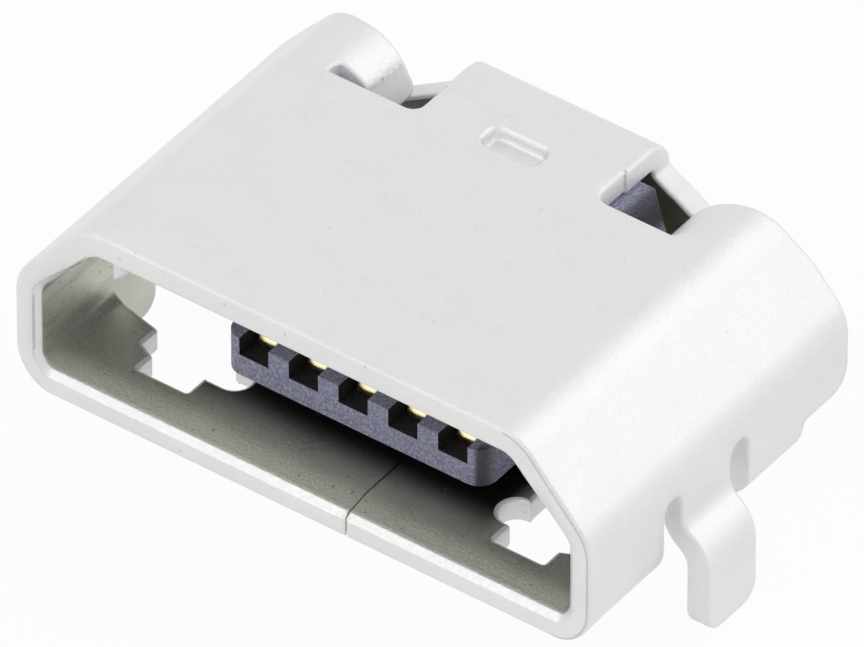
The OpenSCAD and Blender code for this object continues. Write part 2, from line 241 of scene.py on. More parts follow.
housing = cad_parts["housing"]
housing.data.materials.clear()
housing.data.materials.append(filled_plastic)
weld = housing.modifiers.new("weld", "WELD")
weld.merge_threshold = MERGE_D * MM
soften = housing.modifiers.new("mould_edge", "BEVEL")
soften.width = MOULD_EDGE * MM
soften.segments = 2
soften.angle_limit = MOULD_EDGE_ANGLE
soften.harden_normals = True


# Contacts. Five strips of copper alloy, stamped and gold plated, pressed into the housing's grooves. Each is a
# straight blade between the tongue's ribs, bent down under the heel and out again as a foot on the board.
CONTACT_T = 0.15
CONTACT_EDGE = 0.03
CONTACT_BEND = 0.10
BLADE = 2.98
STATIONS = 90
CORNER_STEPS = 3
GOLD_DEEP = (0.97, 0.78, 0.38, 1)
GOLD_PALE = (1.0, 0.91, 0.62, 1)
GOLD_ROUGH = (0.22, 0.36)


def walk(steps, along, start, heading=0.0):
    """Points and headings at given lengths along the middle line of a folded strip. Each step is a straight
    length, then a bend's middle radius and its turn to the left; past the last step the line goes straight on."""
    point = np.empty((len(along), 2))
    heading_at = np.empty(len(along))
    here = np.array(start, float)
    gone = 0.0
    for straight, radius, turn in steps + [(0.0, 0.0, 0.0)]:
        ahead = np.array((math.cos(heading), math.sin(heading)))
        reached = (along >= gone) | (gone == 0)
        point[reached] = here + np.outer(along[reached] - gone, ahead)
        heading_at[reached] = heading
        here = here + straight * ahead
        gone += straight
        if turn:
            bend = math.copysign(radius, turn)
            centre = here + bend * np.array((-math.sin(heading), math.cos(heading)))
            reached = along >= gone
            angle = heading + (along[reached] - gone) / bend
            point[reached] = centre + bend * np.stack((np.sin(angle), -np.cos(angle)), 1)
            heading_at[reached] = angle
            heading += turn
            gone += abs(bend * turn)
            here = centre + bend * np.array((math.sin(heading), -math.cos(heading)))
    return point, heading_at


def piece(name, points, faces, material, body="root"):
    """A smooth mesh object from points in millimetres, riding on a body."""
    mesh = bpy.data.meshes.new(name)
    mesh.from_pydata((np.asarray(points) * MM).tolist(), [], faces)
    mesh.materials.append(material)
    mesh.shade_smooth()
    made = bpy.data.objects.new(name, mesh)
    bpy.context.scene.collection.objects.link(made)
    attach(made, body)
    return made


def rounded_ring(half_w, half_h, radius):
    """Points round a rectangle with rounded corners, counter-clockwise."""
    ring = []
    for k, (across, up) in enumerate(((1, 1), (-1, 1), (-1, -1), (1, -1))):
        for i in range(CORNER_STEPS + 1):
            angle = math.pi / 2 * (k + i / CORNER_STEPS)
            ring.append((across * (half_w - radius) + radius * math.cos(angle),
                         up * (half_h - radius) + radius * math.sin(angle)))
    return np.array(ring)


gold_plate, tree, shader = surface("gold_plate")
mottle = effect(tree, grain_group, {"Scale": 9, "Low": 0.3, "High": 0.7})
feed(tree, shader, {
    "Base Color": mixed(tree, mottle, GOLD_DEEP, GOLD_PALE),
    "Roughness": ranged(tree, mottle, *GOLD_ROUGH),
    "Metallic": 1,
})

for number in range(1, 6):
    low, high = (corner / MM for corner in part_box(f"contact_{number}"))
    bend = CONTACT_BEND + CONTACT_T / 2
    drop = high.z - low.z - CONTACT_T - 2 * bend
    foot = high.y - low.y - BLADE - 2 * bend
    steps = [(BLADE, bend, -math.pi / 2), (drop, bend, math.pi / 2)]
    length = BLADE + drop + foot + math.pi * bend
    along = np.linspace(0, length, STATIONS)
    shrink = np.clip(np.minimum(along, length - along) / CONTACT_EDGE, 0.0, 1.0)
    line, heading = walk(steps, along, (low.y, high.z - CONTACT_T / 2))
    points = []
    for (y, z), angle, full in zip(line, heading, shrink):
        inset = CONTACT_EDGE * (1 - full)
        for across, up in rounded_ring((high.x - low.x) / 2 - inset, CONTACT_T / 2 - inset, CONTACT_EDGE):
            points.append(((low.x + high.x) / 2 + across, y - up * math.sin(angle), z + up * math.cos(angle)))
    count = len(points) // STATIONS
    faces = [(k * count + i, k * count + (i + 1) % count, (k + 1) * count + (i + 1) % count, (k + 1) * count + i)
             for k in range(STATIONS - 1) for i in range(count)]
    faces.append(tuple(reversed(range(count))))
    faces.append(tuple(range((STATIONS - 1) * count, STATIONS * count)))
    contact = piece(f"contact_{number}_strip", points, faces, gold_plate)
    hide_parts(f"contact_{number}")


# Shell. One strip of tin-plated steel sheet is blanked flat with its windows, slots, ears and rear flap, then
# folded round the housing into a tube that closes in a dovetailed seam on the floor. It is modelled the same
# way: an outline on the flat strip, where w goes round the tube from the roof's middle and v back from the mouth.
SHEET = 0.30
OPENING_W = 6.9
OPENING_TOP_W = 5.4
OPENING_H = 1.85
UPRIGHT_H = 1.0
LEAD_IN = 0.075
LIP_DROP = 0.065
LIP_L = 0.45
TOP_BEND = 0.40
SIDE_BEND = 0.45
FLOOR_BEND = 0.30

shell_low, shell_high = (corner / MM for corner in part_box("shell"))
mouth = shell_low.y
half_t = SHEET / 2
roof_mid = shell_high.z - half_t
slant = math.atan2(OPENING_H - UPRIGHT_H, (OPENING_W - OPENING_TOP_W) / 2)
right_angle = math.pi / 2
shoulder_x = OPENING_TOP_W / 2 + half_t * math.tan(slant / 2)
side_x = OPENING_W / 2 + half_t
side_z = SHEET + UPRIGHT_H + half_t * math.tan((right_angle - slant) / 2)
top_tangent = TOP_BEND * math.tan(slant / 2)
side_tangent = SIDE_BEND * math.tan((right_angle - slant) / 2)
roof_half = shoulder_x - top_tangent
slant_run = math.hypot(side_x - shoulder_x, roof_mid - side_z) - top_tangent - side_tangent
upright_top = side_z - side_tangent
upright_run = upright_top - half_t - FLOOR_BEND
section = [
    (roof_half, TOP_BEND, -slant),
    (slant_run, SIDE_BEND, slant - right_angle),
    (upright_run, FLOOR_BEND, -right_angle),
]
slant_w = roof_half + TOP_BEND * slant
side_w = slant_w + slant_run
upright_w = side_w + SIDE_BEND * (right_angle - slant)
low_bend_w = upright_w + upright_run
floor_w = low_bend_w + FLOOR_BEND * right_angle
floor_middle_w = floor_w + side_x - FLOOR_BEND


def on_floor(x):
    """Place on the flat strip of a point on the floor at a distance x from the middle."""
    return floor_middle_w - x


def on_wall(z):
    """Place on the flat strip of a point on the upright wall at height z."""
    return upright_w + upright_top - z


# The two stakes are tongues of the wall's sheet between two slots, jogged outwards and down through the board.
# The floor is cut out where each stake's sheet came from, and further in on the left.
STAKE_V = 2.105
STAKE_W = 0.87
STAKE_TOP = 0.65
STAKE_BEND = 0.40
STAKE_CORNER = 0.25
SLOT_W = 0.31
SLOT_TOP = 1.02
CUT_RIGHT_X = 2.06
CUT_LEFT_X = 1.76
jog = shell_high.x - half_t - side_x
jog_turn = math.acos(1 - jog / 2 / STAKE_BEND)
stake_straight = STAKE_TOP - 2 * STAKE_BEND * math.sin(jog_turn) - shell_low.z
stake_w = on_wall(STAKE_TOP)
stake_end_w = stake_w + 2 * STAKE_BEND * jog_turn + stake_straight
stake_gap_w = (stake_end_w + on_floor(CUT_RIGHT_X)) / 2
stake_section = section[:2] + [
    (upright_top - STAKE_TOP, STAKE_BEND, jog_turn),
    (0.0, STAKE_BEND, -jog_turn),
]

# The two ears are tabs of the roof's rear corners, bent down behind the housing's block to hold it. Their tips
# are coined a little thinner. The neck of the roof between them is bent down into the rear flap.
EAR_LEFT_V = 3.92
EAR_RIGHT_V = 3.80
EAR_BACK_V = 4.50
EAR_LEAD = 0.06
EAR_BEND = 0.51
EAR_TURN = math.radians(60)
EAR_DROP = 0.33
EAR_RUN = 0.65
EAR_BLEND = 0.20
WALL_L = 4.65
TIP_TURN = math.radians(56)
TIP_STEP = 0.02
NECK_W = 1.18
NECK_BEND_V = 4.57
NECK_BEND = 0.23
SHOULDER_V = 4.94
ear_bend_w = roof_half - EAR_LEAD
ear_end_w = ear_bend_w - EAR_BEND * EAR_TURN - EAR_DROP
ear_run_w = slant_w - top_tangent + (ear_bend_w + EAR_RUN - shoulder_x) / math.cos(slant)
tip_w = ear_bend_w - EAR_BEND * TIP_TURN
neck_gap_w = (NECK_W + ear_end_w) / 2
flap_gap_v = (WALL_L + SHOULDER_V) / 2
ear_section = [(0.0, EAR_BEND, EAR_TURN)]
neck_section = [(NECK_BEND_V, NECK_BEND, -right_angle)]

# A long dimple is pressed into the neck's root, and a coined line crosses the neck behind it.
DIMPLE_V = 3.80
DIMPLE_W = 0.71
DIMPLE_L = 0.30
DIMPLE_D = 0.14
DIMPLE_R = 0.10
DIMPLE_FLANK = 0.07
COIN_V = 4.15
COIN_D = 0.012
COIN_BLEND = 0.03


def ramp(value):
    """Smooth step from 0 to 1."""
    value = np.clip(value, 0, 1)
    return value * value * (3 - 2 * value)


def pressed(w, v):
    """How far the press has pushed the roof's sheet down at each point."""
    off_w = np.abs(w) - DIMPLE_W / 2 + DIMPLE_R
    off_v = np.abs(v - DIMPLE_V) - DIMPLE_L / 2 + DIMPLE_R
    off = np.hypot(np.maximum(off_w, 0), np.maximum(off_v, 0)) + np.minimum(np.maximum(off_w, off_v), 0) - DIMPLE_R
    dimple = DIMPLE_D * ramp(0.5 - off / DIMPLE_FLANK)
    coined = COIN_D * ramp(0.5 + (v - COIN_V) / COIN_BLEND) * (np.abs(w) < neck_gap_w)
    return dimple + coined


def fold(w, v, depth):
    """Points of the folded shell from places on the flat strip and depths from the middle of its sheet. The lip
    of the floor is turned down a little at the mouth."""
    side = np.where(w < 0, -1.0, 1.0)
    round_w = np.abs(w)
    point, heading = walk(section, round_w, (0.0, roof_mid))
    staked = (round_w > stake_w) & (round_w < stake_gap_w) & (np.abs(v - STAKE_V) < (STAKE_W + SLOT_W) / 2)
    point[staked], heading[staked] = walk(stake_section, round_w[staked], (0.0, roof_mid))
    place = point + np.stack((-np.sin(heading), np.cos(heading)), 1) * depth[:, None]
    y = v.copy()
    necked = (v > NECK_BEND_V) & ((round_w < neck_gap_w) | (v > flap_gap_v))
    line, lean = walk(neck_section, v[necked], (0.0, roof_mid))
    y[necked] = line[:, 0] - np.sin(lean) * depth[necked]
    place[necked, 1] = line[:, 1] + np.cos(lean) * depth[necked]
    place[:, 1] -= pressed(w, v) * (round_w < neck_gap_w)
    place[:, 1] -= LIP_DROP * ramp(1 - v / LIP_L) * ramp((round_w - low_bend_w) / (floor_w - low_bend_w))
    front_v = np.where(w < 0, EAR_LEFT_V, EAR_RIGHT_V)
    behind_slot = (round_w > neck_gap_w) & (v > front_v - EAR_BLEND) & (v < flap_gap_v)
    eared = behind_slot & (round_w < ear_bend_w)
    line, lean = walk(ear_section, ear_bend_w - round_w[eared], (ear_bend_w, roof_mid), math.pi)
    bent = line + np.stack((np.sin(lean), -np.cos(lean)), 1) * depth[eared][:, None]
    share = ramp(1 + (v[eared] - front_v[eared]) / EAR_BLEND)
    place[eared] += (bent - place[eared]) * share[:, None]
    return np.stack((side * place[:, 0], mouth + y, place[:, 1]), 1)


# The flat strip's outline: the dovetailed seam, the short floor, the wall's rear end, the ear, the slot in front
# of it, the neck with its shoulders and the flap. Each corner is a place on the strip and a radius. The ears and
# their slots differ a little from side to side.
SEAM_X = 0.58
SEAM_GAP = 0.02
DOVETAIL_V = 1.30
DOVETAIL_L = 0.90
DOVETAIL_D = 0.45
DOVETAIL_FLARE = 0.06
DOVETAIL_R = 0.06
FLOOR_L = 3.85
FLOOR_END_R = 0.08
WALL_LOW = 0.47
ROOF_L = 3.62
NECK_STEP = 0.025
NECK_STEP_L = 0.02
NECK_STEP_R = 0.01
FLAP_W = 2.20
SHOULDER_LOW_V = 5.56
FLAP_LOW_V = 6.45
PUNCH_R = 0.03


def seam(side, gap):
    """Seam corners from the mouth back, on the side whose sheet carries the tab (-1) or the socket (1)."""
    edge = SEAM_X + side * gap
    tip = edge + DOVETAIL_D
    front = DOVETAIL_V - side * gap
    back = DOVETAIL_V + DOVETAIL_L + side * gap
    corners = [
        (edge, 0.0, PUNCH_R),
        (edge, front, DOVETAIL_R),
        (tip, front - DOVETAIL_FLARE, DOVETAIL_R),
        (tip, back + DOVETAIL_FLARE, DOVETAIL_R),
        (edge, back, DOVETAIL_R),
        (edge, FLOOR_L, FLOOR_END_R),
    ]
    return [(on_floor(x) if side > 0 else -on_floor(-x), v, r) for x, v, r in corners]


def rear(roof_l, notch_w, notch_v, front_v, back_v, tip_v):
    """Corners behind the floor on the right half of the strip. A slot between the roof's end and the ear's front
    edge ends in a notch, and the ear's rear edge has a place at its bend and another at its tip."""
    return [
        (on_wall(WALL_LOW), FLOOR_L, FLOOR_END_R),
        (on_wall(WALL_LOW), WALL_L, 0.30),
        (ear_run_w, WALL_L, 0.60),
        (ear_bend_w, back_v, 0.60),
        (ear_end_w, tip_v, 0.14),
        (ear_end_w, front_v, 0.10),
        (notch_w, notch_v, PUNCH_R),
        (notch_w, roof_l, PUNCH_R),
        (NECK_W, roof_l, 0.14),
        (NECK_W, COIN_V - NECK_STEP_L, NECK_STEP_R),
        (NECK_W + NECK_STEP, COIN_V, NECK_STEP_R),
        (NECK_W + NECK_STEP, SHOULDER_V, 0.05),
        (FLAP_W, SHOULDER_LOW_V, 0.10),
        (FLAP_W, FLAP_LOW_V, 0.20),
    ]


def mirrored(corners):
    """The same corners on the left half of the strip."""
    return [(-w, v, r) for w, v, r in corners]


right_rear = rear(
    roof_l=ROOF_L, notch_w=2.20, notch_v=3.70,
    front_v=EAR_RIGHT_V + 0.06, back_v=EAR_BACK_V - 0.03, tip_v=4.16)
left_rear = mirrored(rear(
    roof_l=ROOF_L + 0.03, notch_w=2.335, notch_v=3.85,
    front_v=EAR_LEFT_V, back_v=EAR_BACK_V + 0.04, tip_v=4.52))
blank = seam(1, SEAM_GAP / 2) + right_rear + left_rear[::-1] + seam(-1, SEAM_GAP / 2)[::-1]

# Each side has one opening: a stepped latch window in the floor with a round lobe, which runs into the cut-out
# that the stake's sheet came from and into the two slots beside the stake. The left lobe reaches further in.
LATCH_X = 2.33
LATCH_OFF = 0.10
LATCH_W = 0.65
LATCH_V = 0.56
LATCH_L = 0.26
LATCH_STEP = 0.21
LOBE_R = 0.20
LOBE_LEFT_IN = 0.25
LOBE_RIGHT_IN = 0.06
LOBE_V = 1.06
SLOT_FLOOR_X = 3.40
TOOTH_R = 0.02
CUT_SMALL_R = 0.05
CUT_LARGE_R = 0.10
stake_front = STAKE_V - STAKE_W / 2
stake_back = STAKE_V + STAKE_W / 2
slot_end_r = SLOT_W / 2 - 0.001
lobe_end_r = LOBE_R - 0.005


def latch_opening(middle, lobe_in, cut_x):
    """Corners of the opening on the right half of the strip, for a latch window at a distance from the middle,
    a lobe that reaches further in than the window, and the inner edge of the cut-out."""
    near = middle - LATCH_W / 2
    far = middle + LATCH_W / 2
    lobe = near - lobe_in - LOBE_R
    tooth = near + (cut_x - near) * LOBE_R / (stake_front - SLOT_W - LOBE_V)
    return [
        (on_floor(near), LATCH_V, PUNCH_R),
        (on_floor(far), LATCH_V, PUNCH_R),
        (on_floor(far), LATCH_V + LATCH_L, PUNCH_R),
        (on_floor(far + LATCH_STEP), LATCH_V + LATCH_L + LATCH_STEP / 2, PUNCH_R),
        (on_floor(far + LATCH_STEP), stake_front - 1.5 * SLOT_W, CUT_SMALL_R),
        (on_floor(SLOT_FLOOR_X), stake_front - SLOT_W, CUT_LARGE_R),
        (on_wall(SLOT_TOP), stake_front - SLOT_W, slot_end_r),
        (on_wall(SLOT_TOP), stake_front, slot_end_r),
        (stake_end_w, stake_front, STAKE_CORNER),
        (stake_end_w, stake_back, STAKE_CORNER),
        (on_wall(SLOT_TOP), stake_back, slot_end_r),
        (on_wall(SLOT_TOP), stake_back + SLOT_W, slot_end_r),
        (on_floor(cut_x), stake_back + SLOT_W, CUT_LARGE_R),
        (on_floor(cut_x), stake_front - SLOT_W, CUT_SMALL_R),
        (on_floor(tooth), LOBE_V + LOBE_R, TOOTH_R),
        (on_floor(lobe), LOBE_V + LOBE_R, lobe_end_r),
        (on_floor(lobe), LOBE_V - LOBE_R, lobe_end_r),
        (on_floor(near), LOBE_V - LOBE_R, TOOTH_R),
    ]


right_opening = latch_opening(LATCH_X + LATCH_OFF, LOBE_RIGHT_IN, CUT_RIGHT_X)
left_opening = mirrored(latch_opening(LATCH_X - LATCH_OFF, LOBE_LEFT_IN, CUT_LEFT_X))

# The press leaves the sheet's edges rounded. In the seam they are sharper and lie close together.
SHEET_EDGE = 0.045
SEAM_EDGE = 0.012
SEAM_END = 0.02
SEAM_FROM_X = 0.4
SEAM_TO_X = 1.2
LOOP_STEP = 0.045
LOOP_TURN = math.radians(14)


def rounded_loop(corners, clockwise):
    """A closed line with its corners rounded, in small steps, turning the way that is asked for."""
    corner = np.array(corners)[:, :2]
    area = np.sum(corner[:, 0] * np.roll(corner[:, 1], -1) - corner[:, 1] * np.roll(corner[:, 0], -1))
    if (area < 0) != clockwise:
        return rounded_loop(corners[::-1], clockwise)
    knots = []
    for i, here in enumerate(corner):
        radius = corners[i][2]
        before = corner[i - 1] - here
        after = corner[(i + 1) % len(corner)] - here
        before /= np.linalg.norm(before)
        after /= np.linalg.norm(after)
        half_turn = (math.pi - math.acos(np.clip(before @ after, -1, 1))) / 2
        tangent = radius * math.tan(half_turn)
        middle = here + (before + after) / np.linalg.norm(before + after) * radius / math.cos(half_turn)
        first = here + tangent * before - middle
        turn = 2 * half_turn * np.sign(after[0] * before[1] - after[1] * before[0])
        pieces = max(3, math.ceil(2 * half_turn / LOOP_TURN))
        for k in range(pieces + 1):
            angle = turn * k / pieces
            knots.append(middle + (first[0] * math.cos(angle) - first[1] * math.sin(angle),
                                   first[0] * math.sin(angle) + first[1] * math.cos(angle)))
    line = []
    for a, b in zip(knots, knots[1:] + knots[:1]):
        count = max(1, math.ceil(np.linalg.norm(b - a) / LOOP_STEP))
        line.extend(a + (b - a) * k / count for k in range(count))
    return np.array(line)


def outward(loop):
    """Direction out of the sheet at each point of a loop, long enough to offset both edges beside it by one."""
    edge = np.roll(loop, -1, 0) - loop
    normal = np.stack((edge[:, 1], -edge[:, 0]), 1) / np.linalg.norm(edge, axis=1)[:, None]
    before = np.roll(normal, 1, 0)
    return (normal + before) / (1 + np.sum(normal * before, 1))[:, None]


def on_seam(loop):
    """Which points of a loop lie in the seam."""
    along = (loop[:, 1] > SEAM_END) & (loop[:, 1] < FLOOR_L - SEAM_END)
    return along & ((loop[:, 0] > on_floor(SEAM_TO_X)) | (loop[:, 0] < -on_floor(-SEAM_FROM_X)))


loops = [rounded_loop(blank, False), rounded_loop(right_opening, True), rounded_loop(left_opening, True)]
out_of = [outward(loop) for loop in loops]
edge_of = [np.where(on_seam(loop), SEAM_EDGE, SHEET_EDGE) for loop in loops]
inner_loops = [loop - edge[:, None] * way for loop, edge, way in zip(loops, edge_of, out_of)]

# The sheet is meshed from points on lines across and along the strip, which lie closer together where it is bent,
# pressed or chamfered.
FIRST_W = 0.06
FIRST_V = 0.13
LIP_GRID = 0.06
BODY_GRID = 0.14
BEND_GRID = 0.05
NECK_GRID = 0.09
STAKE_GRID = 0.10
DIMPLE_GRID = 0.02
DIMPLE_MARGIN = 0.08
CHAMFER_GRID = 0.018
CHAMFER_ROW = 0.005
CHAMFER_END = 0.006
RIM_CLEAR = 0.02


def inside(points, loop):
    """Which points lie inside a closed line, by counting the edges that a ray crosses."""
    hit = np.zeros(len(points), bool)
    for a, b in zip(loop, np.roll(loop, -1, 0)):
        crosses = (a[1] > points[:, 1]) != (b[1] > points[:, 1])
        if a[1] != b[1]:
            meets = a[0] + (points[:, 1] - a[1]) / (b[1] - a[1]) * (b[0] - a[0])
            hit ^= crosses & (points[:, 0] < meets)
    return hit


def on_sheet(points):
    """Which places on the flat strip are sheet, inside the rounded edges."""
    kept = inside(points, inner_loops[0])
    for hole in inner_loops[1:]:
        kept &= ~inside(points, hole)
    return kept


def spaced(marks, steps):
    """Places between marks in order, each stretch cut into its own number of steps."""
    return np.concatenate([np.linspace(a, b, n, endpoint=False) for a, b, n in zip(marks, marks[1:], steps)])


def crossings(across, back):
    """Points where lines across the strip meet lines along it."""
    return np.stack(np.meshgrid(across, back), 2).reshape(-1, 2)


half_lines = spaced(
    (FIRST_W, roof_half, slant_w, side_w, upright_w, low_bend_w, floor_w, floor_middle_w + DOVETAIL_D + SEAM_X),
    (22, 8, 8, 8, 6, 9, 38))
round_lines = np.concatenate((-half_lines[::-1], half_lines))
back_lines = np.concatenate((np.arange(FIRST_V, LIP_L, LIP_GRID), np.arange(LIP_L + BEND_GRID, ROOF_L, BODY_GRID)))
neck_end_v = NECK_BEND_V + NECK_BEND * right_angle
flap_lines = spaced(
    (ROOF_L, COIN_V - COIN_BLEND, COIN_V + COIN_BLEND, NECK_BEND_V, neck_end_v, FLAP_LOW_V),
    (9, 6, 4, 10, 13))
corner_lines = np.concatenate((np.arange(ear_end_w, ear_bend_w, BEND_GRID), half_lines[half_lines > ear_bend_w]))
dimple_half_w = DIMPLE_W / 2 + DIMPLE_MARGIN
dimple_half_l = DIMPLE_L / 2 + DIMPLE_MARGIN

body_points = crossings(round_lines, back_lines)
on_stake = (np.abs(body_points[:, 0]) > stake_w) & (np.abs(body_points[:, 0]) < stake_end_w)
on_stake &= np.abs(body_points[:, 1] - STAKE_V) < STAKE_W / 2
chamfer_points = crossings(np.arange(roof_half, half_lines[-1], CHAMFER_GRID),
                           (LEAD_IN - CHAMFER_ROW, LEAD_IN + CHAMFER_ROW))
stake_points = crossings(np.arange(stake_w, stake_end_w, BEND_GRID), np.arange(stake_front, stake_back, STAKE_GRID))
corner_points = crossings(corner_lines, np.arange(ROOF_L + RIM_CLEAR, WALL_L, BEND_GRID))
neck_points = crossings(np.arange(-FLAP_W, FLAP_W, NECK_GRID), flap_lines)
on_dimple = (np.abs(neck_points[:, 0]) < dimple_half_w) & (np.abs(neck_points[:, 1] - DIMPLE_V) < dimple_half_l)
dimple_points = crossings(np.arange(-dimple_half_w, dimple_half_w, DIMPLE_GRID),
                          np.arange(DIMPLE_V - dimple_half_l, DIMPLE_V + dimple_half_l, DIMPLE_GRID))
grid = np.concatenate((
    body_points[~on_stake],
    chamfer_points,
    chamfer_points * (-1, 1),
    stake_points,
    stake_points * (-1, 1),
    corner_points,
    corner_points * (-1, 1),
    neck_points[~on_dimple],
    dimple_points,
))
grid = grid[on_sheet(grid)]
rim_points = np.concatenate(inner_loops)
rim_tree = kdtree.KDTree(len(rim_points))
for k, (w, v) in enumerate(rim_points):
    rim_tree.insert((w, v, 0), k)
rim_tree.balance()
grid = grid[[rim_tree.find((w, v, 0))[2] > RIM_CLEAR for w, v in grid]]
edges = []
for loop in inner_loops:
    start = len(edges)
    edges.extend((start + k, start + (k + 1) % len(loop)) for k in range(len(loop)))
flat = np.concatenate((rim_points, grid))
made = geometry.delaunay_2d_cdt([Vector(p) for p in flat], edges, [], 0, 1e-7)
flat = np.array([tuple(p) for p in made[0]])
triangles = np.array(made[2])
triangles = triangles[on_sheet(flat[triangles].mean(1))]
corner_a, corner_b, corner_c = (flat[triangles[:, k]] for k in range(3))
turned = np.cross(corner_b - corner_a, corner_c - corner_a) < 0
triangles[turned] = triangles[turned][:, ::-1]
new_place = {old: new for new, olds in enumerate(made[3]) for old in olds}


def inner_depth(w, v):
    """Depth of the sheet's inner face, which is chamfered at the mouth's walls and floor to lead a plug in."""
    return np.maximum(0, LEAD_IN - v) * ramp((np.abs(w) - roof_half) / (side_w - roof_half)) - half_t


def on_ear(w, v):
    """Which places on the flat strip belong to the ears."""
    return (np.abs(w) > neck_gap_w) & (v > (ROOF_L + EAR_RIGHT_V) / 2) & (v < flap_gap_v)


def outer_depth(w, v):
    """Depth of the sheet's outer face, which is coined down at the tips of the ears."""
    return half_t - TIP_STEP * on_ear(w, v) * ramp((tip_w - np.abs(w)) / TIP_STEP)


# The sheet's two faces are joined by rims, in bands round the outer edge, over the sheared face and round the
# inner edge. The mouth's chamfer is as bright as the outside, and thin grey lines run along parts of its rim.
SHEAR_STEPS = 3
OUTSIDE, INSIDE, CUT, TIP, LINE = range(5)
last_outer_band = SHEAR_STEPS - 1
first_inner_band = SHEAR_STEPS + 1

points = [fold(flat[:, 0], flat[:, 1], outer_depth(flat[:, 0], flat[:, 1])),
          fold(flat[:, 0], flat[:, 1], inner_depth(flat[:, 0], flat[:, 1]))]
inner_start = len(flat)
faces = [tuple(t) for t in triangles] + [tuple(t) for t in triangles[:, ::-1] + inner_start]
face_w, face_v = flat[triangles].mean(1).T
coined = on_ear(face_w, face_v) & (np.abs(face_w) < tip_w)
led_in = (flat[triangles][:, :, 1].max(1) < LEAD_IN + CHAMFER_END) & (np.abs(face_w) > slant_w)
finish = [np.where(coined, TIP, OUTSIDE), np.where(led_in, OUTSIDE, INSIDE)]
total = 2 * len(flat)
first = 0
arc = [right_angle * k / SHEAR_STEPS for k in range(1, SHEAR_STEPS + 1)]
for loop, edge, way in zip(loops, edge_of, out_of):
    count = len(loop)
    rings = [[new_place[first + k] for k in range(count)]]
    for angle, face in [(a, 1) for a in arc] + [(a, -1) for a in reversed(arc)]:
        place = loop - (edge * (1 - math.sin(angle)))[:, None] * way
        depth = face * (half_t - edge * (1 - math.cos(angle)))
        depth = np.minimum(depth, outer_depth(place[:, 0], place[:, 1]))
        depth = np.maximum(depth, inner_depth(place[:, 0], place[:, 1]))
        points.append(fold(place[:, 0], place[:, 1], depth))
        rings.append(list(range(total, total + count)))
        total += count
    rings.append([inner_start + place for place in rings[0]])
    loop_w = loop[:, 0]
    at_mouth = loop[:, 1] < LEAD_IN / 2
    chamfered = at_mouth & (np.abs(loop_w) > slant_w)
    left_line = at_mouth & (loop_w > -low_bend_w) & (loop_w < -upright_w)
    right_line = at_mouth & (loop_w > roof_half) & (loop_w < floor_w)
    for band, (upper, lower) in enumerate(zip(rings, rings[1:])):
        faces.extend((upper[k], lower[k], lower[(k + 1) % count], upper[(k + 1) % count]) for k in range(count))
        band_finish = np.where(chamfered & (band > first_inner_band), OUTSIDE, CUT)
        # The seam's walls and the chamfer's first inner band take the inside plate, as painted shade.
        band_finish[on_seam(loop) | chamfered & (band == first_inner_band)] = INSIDE
        band_finish[left_line & (band == first_inner_band + 1) | right_line & (band == last_outer_band)] = LINE
        finish.append(band_finish)
    first += count

# The plate is satin. Inside it is painted darker and olive as shade, streaked by drawing and dented; a painted
# pool of light brightens the floor at the lip, and painted shade makes it darkest under the tongue and on the flap.
TIN_PALE = (0.84, 0.84, 0.845, 1)
TIN_DULL = (0.80, 0.80, 0.81, 1)
TIN_ROUGH_SPREAD = 0.06
TIN_GRAIN_D = 0.0015
# The inside plate: the same plating as outside, painted darker and olive as shade inside the tube.
INSIDE_PALE = (0.63, 0.635, 0.56, 1)
INSIDE_DULL = (0.48, 0.485, 0.42, 1)
INSIDE_STREAK = (0.72, 0.72, 0.64, 1)
INSIDE_DENT = (0.30, 0.305, 0.25, 1)
# Painted light on the floor at the mouth's lip.
INSIDE_LIP_LIGHT = (0.76, 0.76, 0.69, 1)
# Painted shade on the floor under the tongue.
INSIDE_TONGUE_SHADE = (0.02, 0.02, 0.016, 1)
# Painted shade on the rear flap's inner face, which lies behind FLAP_Y.
INSIDE_FLAP_SHADE = (0.24, 0.24, 0.16, 1)
FLAP_Y = 2.5
ANYWHERE = -9
CUT_PALE = (0.95, 0.95, 0.945, 1)
CUT_DULL = (0.89, 0.89, 0.88, 1)
TIP_PALE = (0.94, 0.94, 0.93, 1)
TIP_DULL = (0.90, 0.90, 0.88, 1)
LINE_PALE = (0.72, 0.72, 0.71, 1)
LINE_DULL = (0.63, 0.63, 0.62, 1)
STREAK_STRETCH = (1, 0.12, 1)

# Mask for painted shade on the floor under the tongue, deepening towards the back.
shade_group, given, out, position = effect_group("under_tongue", {
    "Front": -1.75, "Back": -1.05, "Half width": 1.8, "Fade": 0.3, "Height": 0.5})
at = axes(shade_group, position)
inwards = smooth(shade_group, at["Y"], given["Front"], given["Back"])
off_middle = maths(shade_group, "ABSOLUTE", at["X"])
side_end = maths(shade_group, "ADD", given["Half width"], given["Fade"])
beside = smooth(shade_group, off_middle, side_end, given["Half width"])
below = maths(shade_group, "LESS_THAN", at["Z"], given["Height"])
put_out(shade_group, out, inwards, beside, below)

# Mask for a painted pool of light on the floor at the mouth, brightest at the lip.
lip_light_group, given, out, position = effect_group("lip_painted_light", {"Front": -2.02, "Back": -1.66, "Height": 0.36})
at = axes(lip_light_group, position)
forward = smooth(lip_light_group, at["Y"], given["Back"], given["Front"])
below = maths(lip_light_group, "LESS_THAN", at["Z"], given["Height"])
put_out(lip_light_group, out, forward, below)

